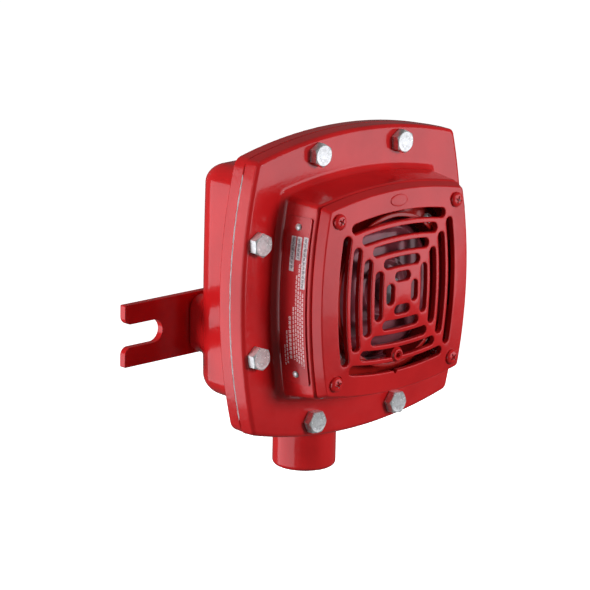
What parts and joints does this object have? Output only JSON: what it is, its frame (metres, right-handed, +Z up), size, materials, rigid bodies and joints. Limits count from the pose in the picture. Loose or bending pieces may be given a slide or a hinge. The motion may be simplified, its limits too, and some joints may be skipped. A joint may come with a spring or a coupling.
{
  "type": "explosion-proof vibrating horn",
  "caption": "Explosion-proof fire alarm horn: bolted cast housing and cover with a slotted sound grille, conduit hub and wall bracket.",
  "frame": {"origin": "middle of the wall face of the mounting bracket", "axes": "+X to the viewer's right along the bracket, +Y into the wall, +Z up; the grille faces -Y"},
  "size_m": [0.233, 0.1203, 0.217],
  "materials": {
    "red_enamel": "high-gloss red enamel over a sand casting",
    "grille_enamel": "satin-gloss red enamel on a die casting",
    "zinc": "bright zinc plate",
    "steel": "plain rolled steel",
    "brass": "turned brass",
    "copper_winding": "lacquered copper wire",
    "black_plastic": "moulded phenolic",
    "gasket": "cut gasket sheet",
    "nameplate": "printed metal plate without lettering",
    "green_screw": "green-dyed steel",
    "lead_insulation": "extruded insulation"
  },
  "bodies": {
    "horn": {"rear_housing": "red_enamel", "front_cover": "red_enamel", "grille": "grille_enamel", "nameplate": "nameplate", "mounting_bracket": "red_enamel", "diaphragm_gasket": "gasket", "diaphragm_clamp_ring": "red_enamel", "flame_path_bushing": "brass", "magnet_yoke": "steel", "magnet_core": "steel", "coil_bobbin": "black_plastic", "coil_winding": "copper_winding", "armature_post": "steel", "spring_screw": "zinc", "contact_insulator": "black_plastic", "contact_bracket": "brass", "contact_adjusting_screw": "brass", "terminal_block": "black_plastic", "terminal_block_screw": "zinc", "ground_screw": "green_screw", "nameplate_rivet_1": "zinc", "nameplate_rivet_2": "zinc", "cover_bolt_1": "zinc", "cover_bolt_2": "zinc", "cover_bolt_3": "zinc", "cover_bolt_4": "zinc", "cover_bolt_5": "zinc", "cover_bolt_6": "zinc", "cover_bolt_7": "zinc", "cover_bolt_8": "zinc", "grille_screw_1": "grille_enamel", "grille_screw_2": "grille_enamel", "grille_screw_3": "grille_enamel", "grille_screw_4": "grille_enamel", "bracket_screw_1": "zinc", "bracket_screw_2": "zinc", "clamp_screw_1": "zinc", "clamp_screw_2": "zinc", "clamp_screw_3": "zinc", "clamp_screw_4": "zinc", "yoke_screw_1": "zinc", "yoke_screw_2": "zinc", "yoke_screw_3": "zinc", "yoke_screw_4": "zinc", "post_screw_1": "zinc", "post_screw_2": "zinc", "contact_block_screw_1": "zinc", "contact_block_screw_2": "zinc", "terminal_screw_1": "brass", "terminal_screw_2": "brass", "coil_lead_1": "lead_insulation", "coil_lead_2": "lead_insulation"},
    "striker": {"armature": "steel", "armature_spring": "steel", "moving_contact": "brass"},
    "diaphragm_set": {"diaphragm": "red_enamel", "diaphragm_nut": "steel", "push_rod": "steel"},
    "output_adjuster": {"output_adjusting_screw": "zinc"}
  },
  "joints": [
    {"name": "armature_swing", "type": "hinge", "parent": "horn", "child": "striker", "pos_m": [0, -0.071, 0.0632], "axis": [1, 0, 0], "range_deg": [0, 0.9], "stiffness_Nm_per_rad": 5, "springref_deg": -0.29},
    {"name": "diaphragm_stroke", "type": "slide", "parent": "horn", "child": "diaphragm_set", "axis": [0, 1, 0], "range_m": [0, 0.00052]},
    {"name": "output_adjuster_turn", "type": "hinge", "parent": "horn", "child": "output_adjuster", "pos_m": [0, -0.1145, -0.0074], "axis": [0, 1, 0], "range_deg": [-90, 90]}
  ],
  "couplings": [
    {"joint": "diaphragm_stroke", "follows": "armature_swing", "m_per_rad": 0.032}
  ]
}
